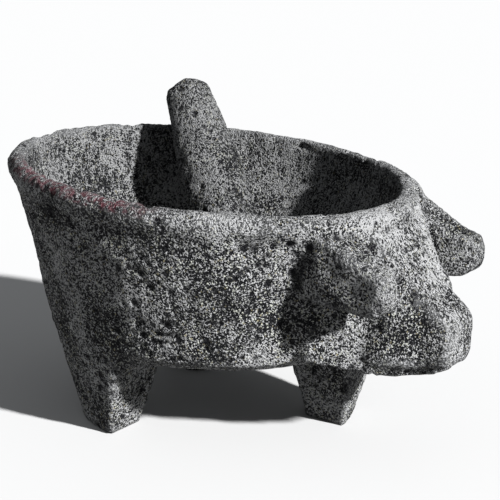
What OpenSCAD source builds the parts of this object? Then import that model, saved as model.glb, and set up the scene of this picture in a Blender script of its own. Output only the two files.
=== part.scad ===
// Molcajete: a basalt mortar cut as a pig, with its loose pestle.
// The pig faces -Y and stands on the floor at z = 0. The origin is on the floor, under
// the middle of the mortar's outline. All sizes are in millimetres.

/* [Bowl] */
// Outer radius of the bowl at the rim
rim_radius = 100.5; // [95:0.5:110]
// Height of the rim above the floor, at the bowl's axis
rim_height = 121; // [115:0.5:130]
// Tilt of the rim, which stands higher at the tail than at the head
rim_tilt = 4.5; // [0:0.5:6]
// Slope of the outer wall from vertical
wall_slope = 14.5; // [12:0.5:18]
// Height of the belly's underside above the floor
belly_height = 36; // [32:0.5:42]
// Radius of the flat part of the belly's underside
belly_radius = 44; // [35:1:55]
// Width of the bevel around the outside of the rim
rim_bevel = 4; // [2:0.5:6]
// Height of the smoother band around the rim
rim_band = 10; // [8:0.5:14]
// How far the band stands proud of the wall below it
band_step = 1.2; // [1:0.1:2]

/* [Hollow] */
// Radius of the hollow at the rim
hollow_radius = 91; // [84:0.5:93]
// Depth of the hollow below the rim
hollow_depth = 66; // [55:1:70]
// How far the hollow sits towards the tail, which leaves a thicker rim at the head
hollow_shift = 4.5; // [0:0.5:6]
// Fullness of the hollow's wall: 2 is an ellipse, and more is squarer
hollow_fullness = 2.3; // [2:0.1:3]

/* [Legs] */
// Direction of the front leg from the bowl's axis, about Z from +X
front_leg_angle = -72; // [-90:1:-62]
// Direction of the rear leg on the pig's left
left_leg_angle = 48; // [36:1:56]
// Direction of the rear leg on the pig's right
right_leg_angle = 158; // [146:1:166]
// Width of a leg's outer face at the foot
foot_width = 26; // [20:1:36]
// Width of a leg's outer face where it meets the belly
leg_root_width = 66; // [50:1:70]
// Depth of a leg, from its outer face inwards, at the foot
foot_depth = 22; // [15:1:30]
// Depth of a leg where it meets the belly
leg_root_depth = 52; // [40:1:56]

/* [Head] */
// Reach of the nose disc in front of the bowl's axis
nose_reach = 131; // [126:0.5:136]
// Height of the nose disc's middle
nose_height = 56; // [54:0.5:62]
// Width of the nose disc
nose_width = 29; // [24:0.5:34]
// Height of the nose disc
nose_tall = 21; // [18:0.5:24]
// Height of the jaw's underside
jaw_height = 41; // [38:0.5:46]
// Width of the head across the cheeks, beside the bowl
cheek_width = 88; // [76:1:96]
// Height of the forehead where it leaves the rim
forehead_height = 112; // [106:0.5:116]

/* [Ears] */
// Distance of each ear's middle from the head's centre line
ear_side = 41; // [36:0.5:46]
// Reach of the ear tips in front of the bowl's axis
ear_reach = 119; // [114:0.5:126]
// Height of an ear tip's middle
ear_tip_height = 86; // [82:0.5:92]
// Thickness of an ear at its tip, top to bottom
ear_tip_tall = 20; // [16:0.5:24]
// Thickness of an ear where it leaves the bowl, top to bottom
ear_root_tall = 34; // [28:0.5:38]
// Width of an ear where it leaves the bowl, side to side
ear_width = 22; // [16:0.5:26]
// Width of an ear's flat tip, side to side
ear_tip_width = 16; // [12:0.5:22]

/* [Pestle] */
// Length of the pestle
pestle_length = 101; // [96:1:120]
// Radius of the pestle at its thickest
pestle_radius = 16.5; // [13:0.5:18]
// Radius of the pestle near its upper end
pestle_top_radius = 12.5; // [10:0.5:14]
// Lean of the pestle from vertical
pestle_lean = 38.2; // [34:0.2:40]
// Direction in which the pestle leans, about Z from +X
pestle_heading = 62.1; // [58:0.1:66]
// Where the pestle's lower end stands, in front of the bowl's axis when negative
pestle_foot_y = 19.7; // [16:0.1:22]
// Where the pestle's lower end stands, towards +X
pestle_foot_x = 36; // [32:0.1:38]
// Height of the middle of the pestle's lower end
pestle_foot_z = 76.8; // [76.8:0.1:82]

/* [Hidden] */
$fn = 96;
curve_steps = 12;
spare = 3;
far = 400;

// Head and ears start inside the bowl's wall, and the hollow trims them.
head_root_y = -60;
brow_y = -88;
cheek_y = -78;
brow_fall_y = -107;
throat_y = -85;
snout_rise = 16;
ear_corner = 5;
pestle_end = 9;
pestle_thick_share = 0.45;

// The outer wall is a cone, and the foot faces lie on it too.
wall_taper = tan(wall_slope);
foot_radius = rim_radius - rim_height * wall_taper;
wall_top = rim_height + 14;
rim_shift = rim_radius * tan(rim_tilt) * wall_taper;
back_reach = rim_radius - rim_bevel * wall_taper + band_step + rim_shift;
bowl_y = (nose_reach - back_reach) / 2;

function wall_radius(z) = foot_radius + z * wall_taper;

// The hollow's wall, from the rim down to the small flat in the middle of its floor.
function hollow_outline() = concat(
    [[0, 0]],
    [for (i = [0 : curve_steps - 1])
        let (a = 90 * i / curve_steps)
        [hollow_radius * pow(cos(a), 2 / hollow_fullness),
         -hollow_depth * pow(sin(a), 2 / hollow_fullness)]],
    [[hollow_radius / 12, -hollow_depth], [0, -hollow_depth]]
);

// Lays a flat outline of [y, z] points across the head, centred on its middle.
module across(width) {
    rotate([90, 0, 90]) linear_extrude(height = width, center = true) children();
}

// Places children in the rim's own frame: z = 0 is the tilted rim, and y = 0 its middle.
module on_rim() {
    translate([0, 0, rim_height]) rotate([rim_tilt, 0, 0])
        translate([0, rim_shift, 0]) children();
}

// The belly's rounded underside. Its side stands past the outer cone, which trims it.
module belly() {
    round_top = belly_height + 20;
    round_r = wall_radius(round_top) + spare;
    rotate_extrude() polygon(concat(
        [[0, belly_height], [belly_radius, belly_height]],
        [for (a = [15 : 15 : 90])
            [belly_radius + (round_r - belly_radius) * sin(a),
             round_top - (round_top - belly_height) * cos(a)]],
        [[wall_radius(wall_top) + 4 * spare, wall_top], [0, wall_top]]
    ));
}

// Belly and legs, trimmed to one cone, so each leg's outer face runs on from the wall.
module lower_body() {
    intersection() {
        union() {
            belly();
            for (angle = [front_leg_angle, left_leg_angle, right_leg_angle])
                rotate([0, 0, angle]) leg();
        }
        cylinder(r1 = foot_radius, r2 = wall_radius(wall_top), h = wall_top);
    }
}

// The band at the top of the wall, with its bevelled edge and a spigot into the wall.
module band() {
    foot_r = rim_radius - rim_band * wall_taper + band_step;
    spigot_r = foot_r - 6;
    on_rim() rotate_extrude() polygon([
        [0, -rim_band - 2], [spigot_r, -rim_band - 2], [spigot_r, -rim_band],
        [foot_r, -rim_band], [rim_radius - rim_bevel * wall_taper + band_step, -rim_bevel],
        [rim_radius - rim_bevel + band_step, 0], [0, 0]
    ]);
}

module bowl() {
    difference() {
        lower_body();
        on_rim() translate([-far / 2, -far / 2, -rim_band]) cube(far);
    }
    band();
}

module hollow() {
    on_rim() translate([0, hollow_shift - rim_shift, 0]) {
        rotate_extrude() polygon(hollow_outline());
        cylinder(r = hollow_radius, h = 60);
    }
}

// One leg's flat section: wide outside, narrower inside, with cut corners.
module leg_section(width, depth) {
    corner = width / 6;
    polygon([
        [0, -width / 2 + corner], [0, width / 2 - corner],
        [-corner, width / 2], [-depth, width / 5],
        [-depth, -width / 5], [-corner, -width / 2]
    ]);
}

// A tapered wedge that reaches past the outer cone.
module leg() {
    root_z = belly_height + 20;
    slab = 0.1;
    hull() {
        translate([wall_radius(0) + spare, 0, 0])
            linear_extrude(height = slab) leg_section(foot_width, foot_depth + spare);
        translate([wall_radius(root_z) + spare, 0, root_z])
            linear_extrude(height = slab)
            leg_section(leg_root_width, leg_root_depth + spare);
    }
}

// The head's side outline: forehead, nose disc, mouth slit and jaw.
module head_profile() {
    nose_top = nose_height + nose_tall / 2;
    nose_bottom = nose_height - nose_tall / 2;
    polygon([
        [head_root_y, forehead_height + 2], [brow_y, forehead_height],
        [brow_y - 10, forehead_height - 8], [brow_fall_y, forehead_height - 20],
        [-nose_reach + 12, nose_top + 10],
        [-nose_reach + 4, nose_top + 4], [-nose_reach, nose_top - 1],
        [-nose_reach + 1, nose_bottom + 2], [-nose_reach + 3, nose_bottom],
        [-nose_reach + 12, nose_bottom - 1], [-nose_reach + 5, nose_bottom - 2],
        [-nose_reach + 6, jaw_height + 2], [-nose_reach + 12, jaw_height],
        [throat_y - 19, jaw_height], [throat_y, jaw_height + 5],
        [head_root_y, jaw_height + 12]
    ]);
}

// The head from above: cheeks that narrow to a rounded chin behind the nose disc.
module head_plan() {
    chin = nose_width / 2 - 3;
    chin_y = -nose_reach + 5 + chin;
    polygon([
        [-cheek_width / 2, head_root_y], [-cheek_width / 2, cheek_y], [-chin - 3, chin_y],
        [chin + 3, chin_y], [cheek_width / 2, cheek_y], [cheek_width / 2, head_root_y]
    ]);
    translate([0, chin_y]) circle(r = chin);
}

// The snout from the front: round lower corners, and a roof that narrows upwards.
module snout_section() {
    corner = 8;
    half = nose_width / 2;
    translate([0, corner]) square([nose_width, nose_tall - corner], center = true);
    square([nose_width - 2 * corner, nose_tall], center = true);
    for (side = [-1, 1])
        translate([side * (half - corner), corner - nose_tall / 2]) circle(r = corner);
    polygon([
        [-half, nose_tall / 2], [-half + 5, nose_tall / 2 + snout_rise],
        [half - 5, nose_tall / 2 + snout_rise], [half, nose_tall / 2]
    ]);
}

module head() {
    intersection() {
        across(2 * cheek_width) head_profile();
        union() {
            linear_extrude(height = far) head_plan();
            translate([0, brow_y - 2, nose_height]) rotate([90, 0, 0])
                linear_extrude(height = far) snout_section();
        }
    }
}

// A thick ear that points forward: a flat outer side, and a taper on the inner one.
// It is drawn for the side where the head's middle lies towards +X.
module ear() {
    tip_r = ear_tip_tall / 2;
    tip_y = -ear_reach;
    root_top = forehead_height + 2;
    outer = -ear_width / 2;
    intersection() {
        across(ear_width) union() {
            translate([tip_y + tip_r, ear_tip_height]) circle(r = tip_r);
            polygon([
                [head_root_y, root_top], [brow_y, root_top - 6],
                [tip_y + tip_r, ear_tip_height + tip_r],
                [tip_y + tip_r, ear_tip_height - tip_r],
                [throat_y, root_top - ear_root_tall - 2],
                [head_root_y, root_top - ear_root_tall]
            ]);
        }
        linear_extrude(height = far) polygon([
            [outer, head_root_y], [outer, tip_y + ear_corner],
            [outer + ear_corner, tip_y], [outer + ear_tip_width - ear_corner, tip_y],
            [outer + ear_tip_width, tip_y + ear_corner],
            [outer + ear_width, brow_y], [outer + ear_width, head_root_y]
        ]);
    }
}

module mortar() {
    color("dimgray") translate([0, bowl_y, 0]) difference() {
        union() {
            bowl();
            head();
            translate([-ear_side, 0, 0]) ear();
            mirror([1, 0, 0]) translate([-ear_side, 0, 0]) ear();
        }
        hollow();
    }
}

// Half the pestle's outline, before its axis side is cut straight.
module pestle_outline() {
    top_z = pestle_length - 2 * pestle_end;
    translate([pestle_radius - pestle_end, 0]) circle(r = pestle_end);
    translate([0, -pestle_end]) square([pestle_radius - pestle_end, 2 * pestle_end]);
    polygon([
        [0, 0], [pestle_radius, 0], [pestle_radius, pestle_length * pestle_thick_share],
        [pestle_top_radius, top_z], [0, top_z]
    ]);
    translate([pestle_top_radius - pestle_end, top_z]) circle(r = pestle_end);
    translate([0, top_z - pestle_end])
        square([pestle_top_radius - pestle_end, 2 * pestle_end]);
}

// A blunt club: rounded ends, and a taper towards the upper one.
module tejolote() {
    color("gray")
        translate([pestle_foot_x, bowl_y + pestle_foot_y, pestle_foot_z])
        rotate([0, 0, pestle_heading]) rotate([0, pestle_lean, 0])
        rotate_extrude() intersection() {
            pestle_outline();
            translate([0, -pestle_end]) square([far, pestle_length]);
        }
}

mortar();
tejolote();
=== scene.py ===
"""Molcajete: a pig-shaped basalt mortar with its loose pestle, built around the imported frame.

The pig faces -Y and stands on the floor at z = 0. All lengths are in metres.
"""
import math

import bmesh
import bpy
import numpy as np
from bpy.props import FloatProperty, FloatVectorProperty, IntProperty, PointerProperty
from mathutils import Matrix, Vector, kdtree, noise


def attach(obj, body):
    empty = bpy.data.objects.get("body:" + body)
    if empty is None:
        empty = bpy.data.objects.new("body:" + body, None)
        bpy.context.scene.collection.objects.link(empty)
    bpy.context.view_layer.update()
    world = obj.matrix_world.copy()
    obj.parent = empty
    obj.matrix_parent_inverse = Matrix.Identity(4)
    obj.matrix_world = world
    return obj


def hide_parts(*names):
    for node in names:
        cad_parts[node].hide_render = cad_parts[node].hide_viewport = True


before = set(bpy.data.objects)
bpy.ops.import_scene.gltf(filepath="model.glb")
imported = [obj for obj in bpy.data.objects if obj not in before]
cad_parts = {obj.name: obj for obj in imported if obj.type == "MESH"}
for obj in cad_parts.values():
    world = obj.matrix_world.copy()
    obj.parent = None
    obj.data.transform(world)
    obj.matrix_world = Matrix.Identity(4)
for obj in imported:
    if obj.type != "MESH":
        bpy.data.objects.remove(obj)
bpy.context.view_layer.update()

bl_info = {
    "name": "Molcajete",
    "version": (1, 0, 0),
    "blender": (4, 5, 0),
    "location": "View3D > Sidebar > Molcajete",
    "description": "A basalt mortar cut as a pig, with its pestle",
    "category": "Add Mesh",
}

# ---------------------------------------------------------------- measures

# The hollow: its middle's shift towards the tail, its size, and the power of its outline.
HOLLOW_SHIFT = 0.0045
HOLLOW_RADIUS = 0.091
HOLLOW_DEPTH = 0.066
HOLLOW_FULLNESS = 2.3

# The carved head: a line's height, and how deep or how far each feature goes.
MOUTH_HEIGHT = 0.0452
MOUTH_DEPTH = 0.0015
NECK_DEPTH = 0.0034
SNOUT_FLARE = 0.0052
EAR_CORNER_LIFT = 0.0010

# Heights of the surface work: chips off the rim, fine crumbs, and marks of the pick.
CHIP_DEPTH = 0.0032
MORTAR_CRUMB = 0.00034
MORTAR_PECK = 0.00022
PESTLE_CRUMB = 0.00022

# A bubble this deep is painted fully dark as shade, and a crease this deep gets its full painted
# shade, an edge this high its full pale wear.
MORTAR_DARK_DEPTH = 0.0012
PESTLE_DARK_DEPTH = 0.0010
CREASE_DEPTH = 0.0016
CREASE_PASSES = 24

# Smoothing passes that follow the first even wear.
HEAD_PASSES = 1
CREST_PASSES = 8
SNOUT_PASSES = 20

# The pestle: its largest bubble, how far it keeps inside the CAD surface where it rests,
# how far it swells where it stands free, and the number of flats round it.
PESTLE_BUBBLE = 0.0021
PESTLE_SINK = 0.0003
PESTLE_CLEAR_RISE = 0.0014
FLATS_ROUND = 5

# How smooth the pestle's stone is, from 0 to 1, and how much darker its ground is made, where 1 is
# the mortar's hollow.
PESTLE_SMOOTH = 0.62
PESTLE_DARKENING = 1.25

# Spacings of the stone's texture, from the finest up.
FINE_SPACING = 0.00085
STROKE_SPACING = 0.0015
CRUMB_SPACING = 0.0020
STAIN_SPACING = 0.0028
WARP_SPACING = 0.0035
CLUMP_SPACING = 0.011
BROAD_SPACING = 0.028

# How far the warp pushes the pores and grains out of their even places.
WARP_REACH = 0.0022

# The camera aims at this height on the bowl's axis, then moves right and up by these.
AIM_HEIGHT = 0.075
CAMERA_RIGHT = 0.0148
CAMERA_UP = 0.0036

# The floor, the fill light's colour, and the wall that the camera sees behind.
FLOOR_RADIUS = 14.0
FILL_COLOUR = (0.94, 0.97, 1.0, 1.0)
WALL_COLOUR = (0.9, 0.9, 0.9, 1.0)

# ---------------------------------------------------------------- settings


class BasaltSettings(bpy.types.PropertyGroup):
    """Colours and grain of the stone."""
    ground: FloatVectorProperty(
        name="Ground", description="Colour of the fine stone between the grains",
        subtype="COLOR", size=3, min=0, max=1, default=(0.0045, 0.0048, 0.006))
    ground_light: FloatVectorProperty(
        name="Light ground", description="Colour of the ground where tools have bruised it",
        subtype="COLOR", size=3, min=0, max=1, default=(0.37, 0.373, 0.378))
    worn: FloatVectorProperty(
        name="Worn edges", description="Colour that rubbed edges take on",
        subtype="COLOR", size=3, min=0, max=1, default=(0.20, 0.203, 0.208))
    grain: FloatVectorProperty(
        name="Grains", description="Colour of the pale mineral grains",
        subtype="COLOR", size=3, min=0, max=1, default=(0.43, 0.44, 0.39))
    warm_grain: FloatVectorProperty(
        name="Warm grains", description="Colour of the few yellowish grains",
        subtype="COLOR", size=3, min=0, max=1, default=(0.30, 0.27, 0.17))
    # Painted shade: the near-black colour put into pores and bubbles in place of the shade that falls
    # in them.
    pore_shade: FloatVectorProperty(
        name="Pores", description="Colour deep inside the gas bubbles",
        subtype="COLOR", size=3, min=0, max=1, default=(0.004, 0.004, 0.006))
    stain: FloatVectorProperty(
        name="Stain", description="Colour of the reddish mark along the rim",
        subtype="COLOR", size=3, min=0, max=1, default=(0.10, 0.022, 0.032))
    grain_size: FloatProperty(
        name="Grain size", description="Spacing of the pale grains",
        subtype="DISTANCE", unit="LENGTH", min=0.0004, max=0.004, default=0.0011)
    pore_size: FloatProperty(
        name="Pore spacing", description="Spacing of the small pores",
        subtype="DISTANCE", unit="LENGTH", min=0.0008, max=0.006, default=0.0014)
    bubble_size: FloatProperty(
        name="Bubble spacing", description="Spacing of the large bubbles",
        subtype="DISTANCE", unit="LENGTH", min=0.002, max=0.02, default=0.0055)
    relief: FloatProperty(
        name="Relief", description="Depth of the fine surface texture",
        subtype="DISTANCE", unit="LENGTH", min=0, max=0.004, default=0.0025)


class MortarSettings(bpy.types.PropertyGroup):
    """Shape of the mortar's worn and pitted surface."""
    mesh_step: FloatProperty(
        name="Mesh step", description="Spacing of the even mesh laid over the body",
        subtype="DISTANCE", unit="LENGTH", min=0.0011, max=0.004, default=0.00145)
    edge_wear: IntProperty(
        name="Edge wear", description="Smoothing passes that round the edges",
        min=0, max=40, default=3)
    unevenness: FloatProperty(
        name="Unevenness", description="Height of the hand-cut unevenness",
        subtype="DISTANCE", unit="LENGTH", min=0, max=0.003, default=0.0009)
    bubble_count: IntProperty(
        name="Bubbles", description="Number of open bubbles cut into the outside",
        min=0, max=9000, default=2400)
    bubble_radius: FloatProperty(
        name="Bubble radius", description="Radius of the largest common bubble",
        subtype="DISTANCE", unit="LENGTH", min=0.001, max=0.006, default=0.0023)
    axis_y: FloatProperty(
        name="Bowl axis", description="Where the bowl's upright axis stands along Y",
        subtype="DISTANCE", unit="LENGTH", default=0.01414)
    rim_height: FloatProperty(
        name="Rim height", description="Height of the rim at the bowl's axis",
        subtype="DISTANCE", unit="LENGTH", default=0.121)
    rim_tilt: FloatProperty(
        name="Rim tilt", description="Tilt of the rim, higher at the tail",
        subtype="ANGLE", unit="ROTATION", default=math.radians(4.5))


class TejoloteSettings(bpy.types.PropertyGroup):
    """Shape of the pestle's worn and pitted surface."""
    mesh_step: FloatProperty(
        name="Mesh step", description="Spacing of the even mesh laid over the pestle",
        subtype="DISTANCE", unit="LENGTH", min=0.0006, max=0.003, default=0.00075)
    edge_wear: IntProperty(
        name="Edge wear", description="Smoothing passes that round the ends",
        min=0, max=40, default=6)
    flats: FloatProperty(
        name="Flats", description="Depth of the long flats left by the cutting",
        subtype="DISTANCE", unit="LENGTH", min=0, max=0.003, default=0.0009)
    unevenness: FloatProperty(
        name="Unevenness", description="Height of the hand-cut unevenness",
        subtype="DISTANCE", unit="LENGTH", min=0, max=0.003, default=0.0007)
    bubble_count: IntProperty(
        name="Bubbles", description="Number of open bubbles cut into the shaft",
        min=0, max=3000, default=330)


class StageSettings(bpy.types.PropertyGroup):
    """Floor, lights and camera."""
    floor_colour: FloatVectorProperty(
        name="Floor", description="Colour of the floor",
        subtype="COLOR", size=3, min=0, max=1, default=(0.50, 0.50, 0.50))
    bounce_colour: FloatVectorProperty(
        name="Bounce", description="Floor colour that the object is lit by from below",
        subtype="COLOR", size=3, min=0, max=1, default=(0.26, 0.26, 0.26))
    key_strength: FloatProperty(
        name="Key light", description="Strength of the main light",
        min=0, max=20, default=11.0)
    key_spread: FloatProperty(
        name="Key spread", description="Apparent width of the main light",
        subtype="ANGLE", unit="ROTATION", default=math.radians(3))
    key_azimuth: FloatProperty(
        name="Key azimuth", description="Direction of the main light, 0 in front",
        subtype="ANGLE", unit="ROTATION", default=math.radians(-4))
    key_elevation: FloatProperty(
        name="Key elevation", description="Height angle of the main light",
        subtype="ANGLE", unit="ROTATION", default=math.radians(29))
    fill_strength: FloatProperty(
        name="Fill light", description="Strength of the even light from all round",
        min=0, max=2, default=0.28)
    azimuth: FloatProperty(
        name="Azimuth", description="Camera's direction round the object, 0 in front",
        subtype="ANGLE", unit="ROTATION", default=math.radians(-56.9))
    elevation: FloatProperty(
        name="Elevation", description="Camera's height angle",
        subtype="ANGLE", unit="ROTATION", default=math.radians(13.8))
    roll: FloatProperty(
        name="Roll", description="Camera's turn about its own axis",
        subtype="ANGLE", unit="ROTATION", default=math.radians(1.7))
    distance: FloatProperty(
        name="Distance", description="Distance from the camera to the bowl's axis",
        subtype="DISTANCE", unit="LENGTH", default=0.634)
    lens: FloatProperty(
        name="Lens", description="Camera lens",
        subtype="DISTANCE_CAMERA", unit="CAMERA", default=92.5)


# ---------------------------------------------------------------- mesh helpers


def smoothstep(low, high, value):
    """0 below low, 1 above high, and an even curve between; low may be the larger."""
    t = np.clip((value - low) / (high - low), 0.0, 1.0)
    return t * t * (3.0 - 2.0 * t)


def points_of(mesh):
    """Vertex places and normals of a mesh, as two arrays."""
    places = np.empty(len(mesh.vertices) * 3, np.float32)
    mesh.vertices.foreach_get("co", places)
    normals = np.empty(len(mesh.vertices) * 3, np.float32)
    mesh.vertices.foreach_get("normal", normals)
    return places.reshape(-1, 3).astype(float), normals.reshape(-1, 3).astype(float)


def move_to(mesh, places):
    """Writes new vertex places."""
    mesh.vertices.foreach_set("co", np.ascontiguousarray(places, np.float32).ravel())
    mesh.update()


def apply_modifiers(piece):
    """Makes the result of a piece's modifiers its own mesh, shaded smooth."""
    graph = bpy.context.evaluated_depsgraph_get()
    mesh = bpy.data.meshes.new_from_object(piece.evaluated_get(graph))
    piece.modifiers.clear()
    piece.data = mesh
    mesh.name = piece.name
    mesh.shade_smooth()


def even_copy(node, name, step, passes):
    """A new object with the shape of a CAD node, evenly meshed, its edges worn round."""
    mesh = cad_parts[node].data.copy()
    mesh.materials.clear()
    welded = bmesh.new()
    welded.from_mesh(mesh)
    bmesh.ops.remove_doubles(welded, verts=welded.verts, dist=1e-6)
    welded.to_mesh(mesh)
    welded.free()
    piece = bpy.data.objects.new(name, mesh)
    bpy.context.scene.collection.objects.link(piece)
    remesh = piece.modifiers.new("Even mesh", "REMESH")
    remesh.mode = "VOXEL"
    remesh.voxel_size = step
    wear = piece.modifiers.new("Worn edges", "SMOOTH")
    wear.factor = 0.5
    wear.iterations = passes
    apply_modifiers(piece)
    if len(piece.data.vertices) < 1000:
        raise RuntimeError(f"{name}: the even mesh came out empty")
    return piece


def soften(piece, weights, passes):
    """Smooths a piece further where weights, one a vertex, are above zero."""
    group = piece.vertex_groups.new(name="soften")
    for index in np.nonzero(weights > 0.01)[0]:
        group.add([int(index)], float(weights[index]), "REPLACE")
    wear = piece.modifiers.new("Soften", "SMOOTH")
    wear.factor = 0.5
    wear.iterations = passes
    wear.vertex_group = group.name
    apply_modifiers(piece)
    piece.vertex_groups.clear()


def layered_noise(places, spacing, octaves, offset=0.0):
    """Smooth noise of about -1 to 1 at every place, with features of that spacing."""
    shift = Vector((offset, offset * 0.7, -offset))
    scale = 1.0 / spacing
    return np.array([
        noise.fractal(Vector(p) * scale + shift, 1.0, 2.0, octaves) for p in places])


def stretched_noise(places, along, spacing, stretch, offset):
    """Noise drawn out in one direction, as the marks of a pick or chisel are."""
    along = np.array(Vector(along).normalized())
    part = places @ along
    squeezed = places - np.outer(part, along) * (1.0 - 1.0 / stretch)
    return layered_noise(squeezed, spacing, 2, offset)


def open_bubbles(places, normals, chance, count, largest, rng):
    """How deep each vertex lies in round-bottomed bubbles scattered by chance."""
    tree = kdtree.KDTree(len(places))
    for index, place in enumerate(places):
        tree.insert(place, index)
    tree.balance()
    depth = np.zeros(len(places))
    seeds = rng.choice(len(places), size=count, replace=False, p=chance / chance.sum())
    for seed in seeds:
        radius = largest * (0.42 + 0.58 * rng.random() ** 2.2)
        sink = radius * rng.uniform(0.35, 0.75)
        squash = rng.uniform(0.7, 1.0)
        for _, index, distance in tree.find_range(places[seed], radius):
            if normals[index] @ normals[seed] < 0.2:
                continue
            share = distance / radius
            hole = sink * squash * (1.0 - share ** 2) ** 0.8
            depth[index] = max(depth[index], hole)
    return depth


def relief_of(mesh, passes):
    """How deep each vertex lies in a hollow, from -1 on an edge to 1 in a crease."""
    places, normals = points_of(mesh)
    ends = np.empty(len(mesh.edges) * 2, np.int32)
    mesh.edges.foreach_get("vertices", ends)
    first, second = ends.reshape(-1, 2).T
    count = len(places)
    joined = np.bincount(first, minlength=count) + np.bincount(second, minlength=count)
    even = places.copy()
    for _ in range(passes):
        total = np.empty_like(even)
        for axis in range(3):
            total[:, axis] = (
                np.bincount(first, weights=even[second, axis], minlength=count)
                + np.bincount(second, weights=even[first, axis], minlength=count))
        even = 0.4 * even + 0.6 * total / joined[:, None]
    sunk = ((even - places) * normals).sum(1)
    return np.clip(sunk / CREASE_DEPTH, -1.0, 1.0)


def keep_values(mesh, name, values):
    """Stores one number a vertex, for the stone's material to read."""
    layer = mesh.attributes.new(name, "FLOAT", "POINT")
    layer.data.foreach_set("value", np.ascontiguousarray(values, np.float32))


# ---------------------------------------------------------------- material


class Nodes:
    """Short ways to add and join the nodes of one material."""

    def __init__(self, material):
        material.use_nodes = True
        self.tree = material.node_tree
        self.tree.nodes.clear()

    def add(self, kind, **values):
        node = self.tree.nodes.new(kind)
        for key, value in values.items():
            setattr(node, key, value)
        return node

    def join(self, output, socket):
        self.tree.links.new(output, socket)

    def feed(self, socket, value):
        if isinstance(value, bpy.types.NodeSocket):
            self.join(value, socket)
        else:
            socket.default_value = value

    def math(self, operation, first, second):
        node = self.add("ShaderNodeMath", operation=operation)
        self.feed(node.inputs[0], first)
        self.feed(node.inputs[1], second)
        return node.outputs[0]

    def plus(self, first, second):
        return self.math("ADD", first, second)

    def minus(self, first, second):
        return self.math("SUBTRACT", first, second)

    def times(self, first, second):
        return self.math("MULTIPLY", first, second)

    def remap(self, value, low, high, to_low=0.0, to_high=1.0):
        node = self.add("ShaderNodeMapRange", interpolation_type="SMOOTHSTEP")
        self.feed(node.inputs["Value"], value)
        self.feed(node.inputs["From Min"], low)
        self.feed(node.inputs["From Max"], high)
        self.feed(node.inputs["To Min"], to_low)
        self.feed(node.inputs["To Max"], to_high)
        return node.outputs["Result"]

    def blend(self, share, first, second):
        node = self.add("ShaderNodeMix", data_type="RGBA")
        self.feed(node.inputs[0], share)
        for socket, colour in ((node.inputs[6], first), (node.inputs[7], second)):
            if isinstance(colour, bpy.types.NodeSocket):
                self.join(colour, socket)
            else:
                socket.default_value = (*colour, 1.0)
        return node.outputs[2]

    def value(self, name):
        return self.add("ShaderNodeAttribute", attribute_name=name).outputs["Fac"]

    def noise(self, where, spacing, detail=2.0, rough=0.5):
        node = self.add("ShaderNodeTexNoise")
        self.join(where, node.inputs["Vector"])
        node.inputs["Scale"].default_value = 1.0 / spacing
        node.inputs["Detail"].default_value = detail
        node.inputs["Roughness"].default_value = rough
        return node.outputs["Fac"]

    def drawn_out(self, where):
        """Coordinates squeezed along a slanting line, so that noise runs in strokes."""
        node = self.add("ShaderNodeMapping")
        self.join(where, node.inputs["Vector"])
        node.inputs["Rotation"].default_value = (0.5, 0.6, 0.3)
        node.inputs["Scale"].default_value = (1.0, 1.0, 0.22)
        return node.outputs["Vector"]

    def cells(self, where, spacing):
        """Distance to each cell's middle, and one random number a cell."""
        node = self.add("ShaderNodeTexVoronoi")
        self.join(where, node.inputs["Vector"])
        node.inputs["Scale"].default_value = 1.0 / spacing
        split = self.add("ShaderNodeSeparateColor")
        self.join(node.outputs["Color"], split.inputs["Color"])
        return node.outputs["Distance"], split.outputs[0], split.outputs[1]


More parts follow.
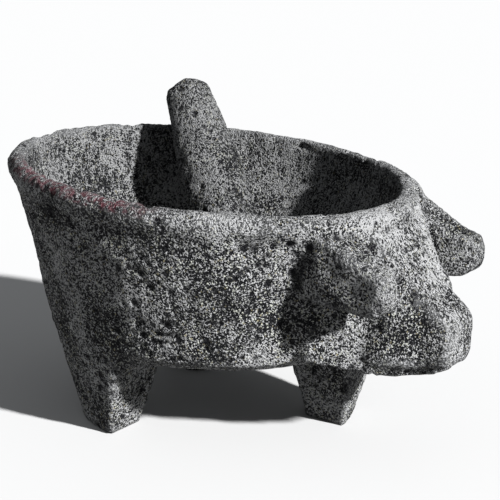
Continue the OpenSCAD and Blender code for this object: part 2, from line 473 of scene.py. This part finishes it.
def basalt(name, stone):
    """Vesicular basalt: pores painted dark as shade, pale grains, painted shade in creases, and dust
    on the tool-bruised faces.
    """
    material = bpy.data.materials.new(name)
    nodes = Nodes(material)
    place = nodes.add("ShaderNodeTexCoord").outputs["Object"]
    warp = nodes.add("ShaderNodeTexNoise")
    nodes.join(place, warp.inputs["Vector"])
    warp.inputs["Scale"].default_value = 1.0 / WARP_SPACING
    warp.inputs["Detail"].default_value = 2.0
    shift = nodes.add("ShaderNodeVectorMath", operation="MULTIPLY_ADD")
    nodes.join(warp.outputs["Color"], shift.inputs[0])
    shift.inputs[1].default_value = (WARP_REACH, WARP_REACH, WARP_REACH)
    nodes.join(place, shift.inputs[2])
    bent = shift.outputs[0]

    smooth = nodes.value("smooth")
    hole = nodes.value("hole")
    stain = nodes.value("stain")
    coarse = nodes.minus(1.0, smooth)

    # Small pores, in more of the cells and wider on the coarse faces, painted dark as the shade in
    # pits.
    near, luck, size = nodes.cells(bent, stone.pore_size)
    reach = nodes.plus(0.16, nodes.times(size, 0.26))
    reach = nodes.times(reach, nodes.remap(coarse, 0.0, 1.0, 0.72, 1.0))
    small = nodes.remap(nodes.math("DIVIDE", near, reach), 1.15, 0.6)
    some = nodes.math("GREATER_THAN", nodes.remap(coarse, 0.0, 1.0, 0.40, 0.72), luck)
    small = nodes.times(small, some)

    # Large bubbles, in fewer cells, and fewest on the smooth faces, painted dark as the shade in
    # pits.
    far, fortune, width = nodes.cells(bent, stone.bubble_size)
    span = nodes.plus(0.13, nodes.times(width, 0.20))
    large = nodes.remap(nodes.math("DIVIDE", far, span), 1.1, 0.55)
    few = nodes.math("GREATER_THAN", nodes.remap(coarse, 0.0, 1.0, 0.12, 0.5), fortune)
    large = nodes.times(large, few)
    pores = nodes.math("MAXIMUM", small, large)
    # Painted shade: the pores, and the cut bubbles by their depth, are darkened as if in shade.
    dark = nodes.math("MAXIMUM", pores, nodes.remap(hole, 0.1, 0.8, 0.0, 0.9))

    # Pale grains, and a ground broken into light and dark crumbs.
    gap, pick, tint = nodes.cells(bent, stone.grain_size)
    grains = nodes.remap(gap, 0.52, 0.24)
    grains = nodes.times(grains, nodes.math("GREATER_THAN", pick, 0.52))
    grains = nodes.times(grains, nodes.remap(smooth, 0.1, 0.8, 1.0, 0.42))
    clump = nodes.remap(nodes.noise(place, CLUMP_SPACING, 3.0), 0.40, 0.62)
    grains = nodes.times(grains, nodes.remap(clump, 0.0, 1.0, 0.35, 1.0))
    fine = nodes.noise(place, FINE_SPACING, 2.0, 0.6)
    crumb = nodes.noise(place, CRUMB_SPACING, 3.0, 0.7)
    broad = nodes.noise(place, BROAD_SPACING, 4.0, 0.55)
    strokes = nodes.noise(nodes.drawn_out(place), STROKE_SPACING, 2.0)
    mottle = nodes.plus(nodes.times(fine, 0.66), nodes.times(crumb, 0.34))
    mottle = nodes.plus(mottle, nodes.times(nodes.minus(broad, 0.5), 0.35))
    drawn = nodes.times(nodes.minus(strokes, 0.42), nodes.times(smooth, 0.42))
    bruised = nodes.plus(mottle, drawn)
    ground = nodes.blend(nodes.remap(bruised, 0.49, 0.565), stone.ground, stone.ground_light)
    # The hollow and the pestle have their ground made darker by this share.
    ground = nodes.blend(nodes.times(nodes.value("darkening"), 0.36), ground, stone.ground)
    pale = nodes.blend(nodes.math("GREATER_THAN", tint, 0.86), stone.grain, stone.warm_grain)
    colour = nodes.blend(grains, ground, pale)
    crease = nodes.value("crease")
    colour = nodes.blend(nodes.remap(crease, -0.12, -0.8, 0.0, 0.34), colour, stone.worn)
    # Painted shade: creases and hollows are darkened towards the ground colour, as shade falls in
    # them.
    colour = nodes.blend(nodes.remap(crease, 0.08, 0.7, 0.0, 0.80), colour, stone.ground)
    reddened = nodes.times(stain, nodes.remap(nodes.noise(place, STAIN_SPACING, 3.0), 0.38, 0.62))
    colour = nodes.blend(reddened, colour, stone.stain)
    # Painted shade in the pores and bubbles.
    colour = nodes.blend(nodes.times(dark, 0.93), colour, stone.pore_shade)

    # Relief: pores sink, grains stand a little proud.
    height = nodes.times(fine, 1.7)
    height = nodes.plus(height, nodes.times(crumb, 0.75))
    height = nodes.plus(height, nodes.times(strokes, nodes.times(smooth, 0.4)))
    height = nodes.plus(height, nodes.times(grains, 0.12))
    height = nodes.minus(height, nodes.times(small, 0.62))
    height = nodes.minus(height, nodes.times(large, 1.15))
    bump = nodes.add("ShaderNodeBump")
    bump.inputs["Strength"].default_value = 0.9
    bump.inputs["Distance"].default_value = stone.relief
    nodes.join(height, bump.inputs["Height"])

    shader = nodes.add("ShaderNodeBsdfPrincipled")
    nodes.join(colour, shader.inputs["Base Color"])
    nodes.join(nodes.remap(grains, 0.0, 1.0, 0.93, 0.62), shader.inputs["Roughness"])
    shader.inputs["Specular IOR Level"].default_value = 0.14
    nodes.join(bump.outputs["Normal"], shader.inputs["Normal"])
    out = nodes.add("ShaderNodeOutputMaterial")
    nodes.join(shader.outputs["BSDF"], out.inputs["Surface"])
    return material


# ---------------------------------------------------------------- operators


class MOLCAJETE_OT_mortar(bpy.types.Operator):
    """Cut the mortar: bowl, three legs, and the pig's head"""
    bl_idname = "molcajete.mortar"
    bl_label = "Mortar"

    def execute(self, context):
        shape = context.scene.molcajete_mortar
        stone = context.scene.molcajete_basalt
        piece = even_copy("mortar", "mortar_stone", shape.mesh_step, shape.edge_wear)
        for part, passes in (("head", HEAD_PASSES), ("crest", CREST_PASSES), ("snout", SNOUT_PASSES)):
            places, normals = points_of(piece.data)
            soften(piece, self.masks(places, normals, shape)[part], passes)
        places, normals = points_of(piece.data)
        rng = np.random.default_rng(20)
        masks = self.masks(places, normals, shape)
        outside = 1.0 - masks["inside"]
        smooth = masks["smooth"]
        coarse = 1.0 - smooth

        hand = layered_noise(places, 0.034, 2) * shape.unevenness
        blows = layered_noise(places, 0.011, 2, 5.0) * shape.unevenness * 0.62
        crumbs = layered_noise(places, 0.0036, 2, 11.0) * MORTAR_CRUMB
        pecks = stretched_noise(places, (0.0, 0.5, 0.86), 0.0042, 3.0, 17.0) * MORTAR_PECK
        lift = hand + blows * (0.35 + 0.65 * coarse) + crumbs * (0.3 + 0.7 * coarse)
        lift += pecks * masks["inside"]
        chips = np.clip(layered_noise(places, 0.008, 2, 31.0) - 0.12, 0.0, 1.0)
        lift -= chips * masks["crest"] * CHIP_DEPTH
        lift -= self.mouth_and_neck(places, shape)
        lift += self.ear_corners(places, normals, shape) * EAR_CORNER_LIFT
        lift += self.snout_flare(places, normals, shape)
        inner_lift = np.minimum(hand * 0.35 + blows * 0.3 + crumbs * 0.5 + pecks, 0.0)
        inner_lift -= chips * masks["crest"] * CHIP_DEPTH
        lift = lift * outside + inner_lift * masks["inside"]

        chance = 0.03 + outside * coarse ** 2 + 0.10 * outside
        chance *= 0.25 + smoothstep(-0.25, 0.45, layered_noise(places, 0.022, 2, 43.0))
        chance *= (places[:, 2] > 0.004)
        depth = open_bubbles(
            places, normals, chance, shape.bubble_count, shape.bubble_radius, rng)
        lift -= depth * (0.45 + 0.55 * coarse)
        lift *= smoothstep(0.0005, 0.003, places[:, 2])
        places += normals * lift[:, None]
        places[:, 2] = np.maximum(places[:, 2], 0.0)
        move_to(piece.data, places)

        keep_values(piece.data, "smooth", smooth)
        # Bubble depth, which the material turns into painted shade inside the bubbles.
        keep_values(piece.data, "hole", np.clip(depth / MORTAR_DARK_DEPTH, 0.0, 1.0))
        keep_values(piece.data, "stain", masks["stain"])
        keep_values(piece.data, "darkening", masks["inside"])
        # How sunk or raised each place is; the material makes edges pale with wear and paints shade
        # into creases.
        keep_values(piece.data, "crease", relief_of(piece.data, CREASE_PASSES))
        piece.data.materials.append(basalt("basalt", stone))
        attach(piece, "mortar")
        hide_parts("mortar")
        return {"FINISHED"}

    @staticmethod
    def snout_mask(places, shape):
        """Where the snout's sides run on into the cheeks."""
        ahead = shape.axis_y - places[:, 1]
        sides = smoothstep(0.004, 0.012, np.abs(places[:, 0]))
        sides *= smoothstep(0.030, 0.024, np.abs(places[:, 0]))
        return sides * smoothstep(0.096, 0.108, ahead) * smoothstep(0.082, 0.072, places[:, 2])

    @staticmethod
    def snout_flare(places, normals, shape):
        """How far the snout's sides widen from the disc back to the cheeks."""
        ahead = shape.axis_y - places[:, 1]
        sides = smoothstep(0.25, 0.7, np.abs(normals[:, 0]))
        sides *= smoothstep(0.009, 0.013, np.abs(places[:, 0]))
        sides *= smoothstep(0.030, 0.022, np.abs(places[:, 0]))
        sides *= smoothstep(0.088, 0.076, places[:, 2]) * smoothstep(0.043, 0.050, places[:, 2])
        return SNOUT_FLARE * sides * smoothstep(0.131, 0.109, ahead) * smoothstep(0.09, 0.10, ahead)

    @staticmethod
    def ear_corners(places, normals, shape):
        """How far out the upright outer corner of each ear's tip stands, from 0 to 1."""
        ahead = shape.axis_y - places[:, 1]
        side = np.abs(places[:, 0])
        outer = normals[:, 0] * np.sign(places[:, 0])
        corner = np.clip(outer, 0, 1) * np.clip(-normals[:, 1], 0, 1) * 2.0
        return corner * smoothstep(0.044, 0.048, side) * smoothstep(0.098, 0.114, ahead)

    @staticmethod
    def mouth_and_neck(places, shape):
        """How deep the mouth's line and the neck behind each ear are cut."""
        ahead = shape.axis_y - places[:, 1]
        height = places[:, 2]
        mouth = smoothstep(0.0022, 0.0004, np.abs(height - MOUTH_HEIGHT))
        mouth *= smoothstep(0.116, 0.122, ahead)
        side = np.abs(places[:, 0])
        neck = smoothstep(0.016, 0.004, np.abs(ahead - 0.068 - (0.11 - height) * 0.1))
        neck *= smoothstep(0.112, 0.100, height) * smoothstep(0.050, 0.070, height)
        neck *= smoothstep(0.044, 0.052, side)
        return MOUTH_DEPTH * mouth + NECK_DEPTH * neck

    @staticmethod
    def head_mask(places, shape):
        """Where the head and legs are worn rounder than the bowl."""
        ahead = shape.axis_y - places[:, 1]
        head = smoothstep(0.092, 0.104, ahead) * smoothstep(0.02, 0.04, places[:, 2])
        legs = smoothstep(0.034, 0.022, places[:, 2]) * smoothstep(0.0, 0.002, places[:, 2])
        return np.clip(head + 0.8 * legs, 0.0, 1.0)

    @staticmethod
    def masks(places, normals, shape):
        """Where the hollow, the rim's crest, the head, the snout, the smoother faces and the
        stain are, from 0 to 1."""
        x = places[:, 0]
        y = places[:, 1] - shape.axis_y
        below = shape.rim_height + y * math.tan(shape.rim_tilt) - places[:, 2]
        out = np.clip(np.hypot(x, y - HOLLOW_SHIFT), 0, 1) / HOLLOW_RADIUS
        down = np.clip(below, 0, 1) / HOLLOW_DEPTH
        bowl = out ** HOLLOW_FULLNESS + down ** HOLLOW_FULLNESS
        inside = smoothstep(1.10, 1.04, bowl) * smoothstep(-0.004, 0.001, below)
        crest = smoothstep(0.007, 0.002, below) * smoothstep(0.080, 0.088, np.hypot(x, y))
        band = smoothstep(0.016, 0.008, below) * (1.0 - inside)
        brow = smoothstep(0.034, 0.024, np.abs(x)) * smoothstep(0.088, 0.096, -y)
        brow *= smoothstep(0.15, 0.4, normals[:, 2])
        disc = smoothstep(0.120, 0.126, -y) * smoothstep(-0.35, -0.7, normals[:, 1])
        smooth = np.clip(0.66 * inside + 0.5 * band + 0.58 * brow + 0.55 * disc, 0.0, 1.0)
        angle = np.degrees(np.arctan2(y, x)) % 360.0
        arc = smoothstep(128, 150, angle) * smoothstep(202, 186, angle)
        stain = 0.75 * arc * smoothstep(0.0034, 0.0012, np.abs(below - 0.0016))
        stain *= smoothstep(0.086, 0.091, np.hypot(x, y))
        return {
            "inside": inside, "crest": crest, "smooth": smooth, "stain": stain,
            "head": MOLCAJETE_OT_mortar.head_mask(places, shape),
            "snout": MOLCAJETE_OT_mortar.snout_mask(places, shape),
        }


class MOLCAJETE_OT_tejolote(bpy.types.Operator):
    """Cut the pestle: a blunt club with long flats"""
    bl_idname = "molcajete.tejolote"
    bl_label = "Tejolote"

    def execute(self, context):
        shape = context.scene.molcajete_tejolote
        stone = context.scene.molcajete_basalt
        piece = even_copy("tejolote", "tejolote_stone", shape.mesh_step, shape.edge_wear)
        places, normals = points_of(piece.data)
        rng = np.random.default_rng(7)
        middle = places.mean(0)
        _, axes = np.linalg.eigh(np.cov((places - middle).T))
        along = axes[:, 2] * np.sign(axes[2, 2])
        side = np.cross(along, (0.0, 0.0, 1.0))
        side /= np.linalg.norm(side)
        front = np.cross(side, along)
        offset = places - middle
        turn = np.arctan2(offset @ side, offset @ front)
        radius = np.hypot(offset @ side, offset @ front)

        facet = np.cos(np.mod(turn + 0.35, math.tau / FLATS_ROUND) - math.pi / FLATS_ROUND)
        corner = math.cos(math.pi / FLATS_ROUND)
        flat = -(1.0 - corner / facet) / (1.0 - corner)
        shaft = smoothstep(0.004, 0.011, radius)
        lift = (flat - flat.max()) * shape.flats * shaft
        hand = layered_noise(places, 0.026, 2, 3.0) * shape.unevenness
        blows = layered_noise(places, 0.009, 2, 9.0) * shape.unevenness * 0.6
        crumbs = layered_noise(places, 0.003, 2, 13.0) * PESTLE_CRUMB
        lean = along * (1.0, 1.0, 0.0)
        clear = smoothstep(0.2, -0.2, normals @ (lean / np.linalg.norm(lean)))
        clear *= smoothstep(0.076, 0.084, places[:, 2])
        rough = hand + blows + crumbs
        sunk = np.minimum(rough - PESTLE_SINK, 0.0) * (1.0 - clear)
        lift += sunk + (rough + PESTLE_CLEAR_RISE) * clear
        chance = 0.2 + smoothstep(-0.2, 0.5, layered_noise(places, 0.018, 2, 23.0))
        depth = open_bubbles(places, normals, chance, shape.bubble_count, PESTLE_BUBBLE, rng)
        lift -= depth * 0.8
        places += normals * lift[:, None]
        move_to(piece.data, places)

        keep_values(piece.data, "smooth", np.full(len(places), PESTLE_SMOOTH))
        # Bubble depth, which the material turns into painted shade inside the bubbles.
        keep_values(piece.data, "hole", np.clip(depth / PESTLE_DARK_DEPTH, 0.0, 1.0))
        keep_values(piece.data, "stain", np.zeros(len(places)))
        keep_values(piece.data, "darkening", np.full(len(places), PESTLE_DARKENING))
        # How sunk or raised each place is; the material makes edges pale with wear and paints shade
        # into creases.
        keep_values(piece.data, "crease", relief_of(piece.data, CREASE_PASSES))
        piece.data.materials.append(basalt("pestle_basalt", stone))
        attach(piece, "tejolote")
        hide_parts("tejolote")
        return {"FINISHED"}


def direction(azimuth, elevation):
    """The way from the object to a light or a camera, 0 azimuth in front."""
    return Vector((
        math.sin(azimuth) * math.cos(elevation),
        -math.cos(azimuth) * math.cos(elevation), math.sin(elevation)))


def shade_by_ray(tree, ray, usual, other, out):
    """Gives one kind of ray the other shader, and every other ray the usual one."""
    path = tree.nodes.new("ShaderNodeLightPath")
    mix = tree.nodes.new("ShaderNodeMixShader")
    tree.links.new(path.outputs[ray], mix.inputs[0])
    tree.links.new(usual.outputs[0], mix.inputs[1])
    tree.links.new(other.outputs[0], mix.inputs[2])
    tree.links.new(mix.outputs[0], out.inputs["Surface"])


class MOLCAJETE_OT_stage(bpy.types.Operator):
    """Set out the floor, the lights and the camera"""
    bl_idname = "molcajete.stage"
    bl_label = "Stage"

    def execute(self, context):
        stage = context.scene.molcajete_stage
        scene = context.scene
        self.floor(scene, stage)
        self.lights(scene, stage)
        self.camera(scene, stage)
        scene.view_settings.view_transform = "Standard"
        return {"FINISHED"}

    @staticmethod
    def floor(scene, stage):
        mesh = bpy.data.meshes.new("floor")
        disc = bmesh.new()
        bmesh.ops.create_circle(disc, cap_ends=True, segments=96, radius=FLOOR_RADIUS)
        disc.to_mesh(mesh)
        disc.free()
        floor = bpy.data.objects.new("floor", mesh)
        scene.collection.objects.link(floor)
        material = bpy.data.materials.new("floor_paper")
        material.use_nodes = True
        tree = material.node_tree
        tree.nodes.clear()
        pale = tree.nodes.new("ShaderNodeBsdfDiffuse")
        pale.inputs["Color"].default_value = (*stage.floor_colour, 1.0)
        dull = tree.nodes.new("ShaderNodeBsdfDiffuse")
        dull.inputs["Color"].default_value = (*stage.bounce_colour, 1.0)
        out = tree.nodes.new("ShaderNodeOutputMaterial")
        shade_by_ray(tree, "Is Diffuse Ray", pale, dull, out)
        mesh.materials.append(material)

    @staticmethod
    def lights(scene, stage):
        sun = bpy.data.lights.new("key", "SUN")
        sun.energy = stage.key_strength
        sun.angle = stage.key_spread
        key = bpy.data.objects.new("key", sun)
        scene.collection.objects.link(key)
        key.rotation_mode = "QUATERNION"
        towards = direction(stage.key_azimuth, stage.key_elevation)
        key.rotation_quaternion = towards.to_track_quat("Z", "Y")
        world = bpy.data.worlds.new("fill")
        world.use_nodes = True
        tree = world.node_tree
        fill = tree.nodes["Background"]
        fill.inputs["Color"].default_value = FILL_COLOUR
        fill.inputs["Strength"].default_value = stage.fill_strength
        wall = tree.nodes.new("ShaderNodeBackground")
        wall.inputs["Color"].default_value = WALL_COLOUR
        shade_by_ray(tree, "Is Camera Ray", fill, wall, tree.nodes["World Output"])
        scene.world = world

    @staticmethod
    def camera(scene, stage):
        back = direction(stage.azimuth, stage.elevation)
        level = Vector((math.cos(stage.azimuth), math.sin(stage.azimuth), 0.0))
        upright = back.cross(level)
        right = level * math.cos(stage.roll) + upright * math.sin(stage.roll)
        up = upright * math.cos(stage.roll) - level * math.sin(stage.roll)
        aim = Vector((0.0, scene.molcajete_mortar.axis_y, AIM_HEIGHT))
        place = aim + back * stage.distance + right * CAMERA_RIGHT + up * CAMERA_UP
        lens = bpy.data.cameras.new("camera")
        lens.sensor_width = 36.0
        lens.lens = stage.lens
        lens.clip_start = 0.01
        lens.clip_end = 100.0
        camera = bpy.data.objects.new("camera", lens)
        scene.collection.objects.link(camera)
        camera.matrix_world = Matrix((
            (right.x, up.x, back.x, place.x), (right.y, up.y, back.y, place.y),
            (right.z, up.z, back.z, place.z), (0.0, 0.0, 0.0, 1.0)))
        scene.camera = camera


# ---------------------------------------------------------------- panel and run


class MOLCAJETE_PT_sidebar(bpy.types.Panel):
    """Lists the pieces and their settings"""
    bl_label = "Molcajete"
    bl_idname = "MOLCAJETE_PT_sidebar"
    bl_space_type = "VIEW_3D"
    bl_region_type = "UI"
    bl_category = "Molcajete"

    def draw(self, context):
        for group, operator in GROUPS:
            box = self.layout.box()
            settings = getattr(context.scene, group)
            for name in settings.bl_rna.properties.keys():
                if name not in ("rna_type", "name"):
                    box.prop(settings, name)
            if operator:
                box.operator(operator)


GROUPS = (
    ("molcajete_basalt", None),
    ("molcajete_mortar", "molcajete.mortar"),
    ("molcajete_tejolote", "molcajete.tejolote"),
    ("molcajete_stage", "molcajete.stage"),
)
CLASSES = (
    BasaltSettings, MortarSettings, TejoloteSettings, StageSettings,
    MOLCAJETE_OT_mortar, MOLCAJETE_OT_tejolote, MOLCAJETE_OT_stage,
    MOLCAJETE_PT_sidebar,
)


def register():
    for cls in CLASSES:
        bpy.utils.register_class(cls)
    scene = bpy.types.Scene
    scene.molcajete_basalt = PointerProperty(type=BasaltSettings)
    scene.molcajete_mortar = PointerProperty(type=MortarSettings)
    scene.molcajete_tejolote = PointerProperty(type=TejoloteSettings)
    scene.molcajete_stage = PointerProperty(type=StageSettings)


def unregister():
    for group, _ in GROUPS:
        delattr(bpy.types.Scene, group)
    for cls in reversed(CLASSES):
        bpy.utils.unregister_class(cls)


def main():
    register()
    bpy.ops.molcajete.stage()
    bpy.ops.molcajete.mortar()
    bpy.ops.molcajete.tejolote()


if __name__ == "__main__":
    main()
